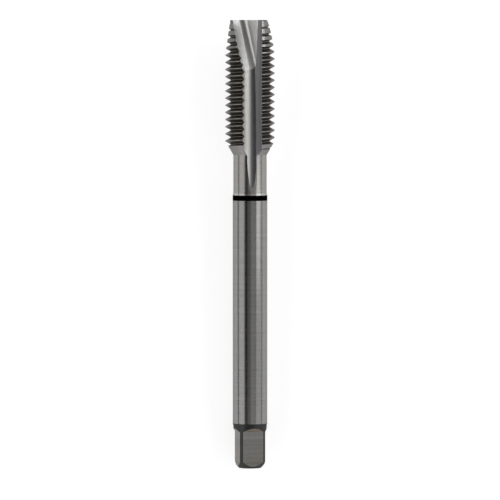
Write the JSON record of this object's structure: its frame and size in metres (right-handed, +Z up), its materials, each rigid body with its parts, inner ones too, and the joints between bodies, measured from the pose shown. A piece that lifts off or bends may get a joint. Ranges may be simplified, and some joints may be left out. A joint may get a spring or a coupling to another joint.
{
  "type": "machine tap",
  "caption": "Straight-fluted machine tap with a spiral point, a long slim shank and a driving square, for cutting internal metric threads.",
  "frame": {"origin": "middle of the length, on the surface that the tap lies on", "axes": "+Y along the tap towards its point, +Z up, +X to the right when looking down with the point ahead"},
  "size_m": [0.012, 0.1102, 0.0123],
  "materials": {
    "ground_steel": "satin",
    "ring_paint": "gloss"
  },
  "bodies": {
    "root": {"tap": "ground_steel"}
  },
  "joints": []
}
